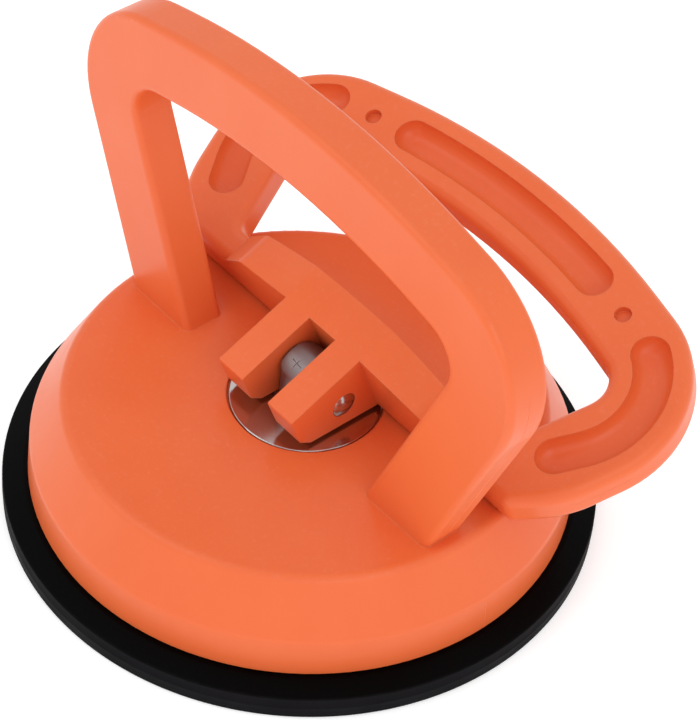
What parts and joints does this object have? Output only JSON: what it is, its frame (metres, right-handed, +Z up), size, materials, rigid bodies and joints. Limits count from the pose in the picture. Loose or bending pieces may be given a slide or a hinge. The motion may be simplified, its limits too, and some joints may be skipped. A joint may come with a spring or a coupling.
{
  "type": "vacuum suction cup",
  "caption": "Single-cup vacuum lifter: a rubber pad under a dished housing with a fixed D handle, and a forked lever that pulls the pad's centre up through a stud.",
  "frame": {"origin": "centre of the pad's flat face, which rests on the surface it grips", "axes": "+Z up out of the surface along the stud, X along the lever's pin and the width of both handles, +Y the way the released lever reaches out"},
  "size_m": [0.123, 0.1191, 0.0984],
  "materials": {
    "rubber": "matte black moulded rubber",
    "steel": "turned and milled steel",
    "orange_plastic": "satin gloss moulded plastic",
    "bright_steel": "bright plated steel"
  },
  "bodies": {
    "base": {"suction_pad": "rubber", "housing": "orange_plastic", "pressure_washer": "bright_steel"},
    "puller": {"stud": "steel", "insert_plate": "steel"},
    "lever_body": {"lever": "orange_plastic", "pivot_pin": "bright_steel"}
  },
  "joints": [
    {"name": "cup_lift", "type": "slide", "parent": "base", "child": "puller", "axis": [0, 0, 1], "range_m": [0, 0.0065]},
    {"name": "lever_swing", "type": "hinge", "parent": "puller", "child": "lever_body", "pos_m": [0, 0, 0.031], "axis": [1, 0, 0], "range_deg": [0, 68]}
  ],
  "couplings": [
    {"joint": "cup_lift", "follows": "lever_swing", "m_per_rad": 0.0054768}
  ]
}
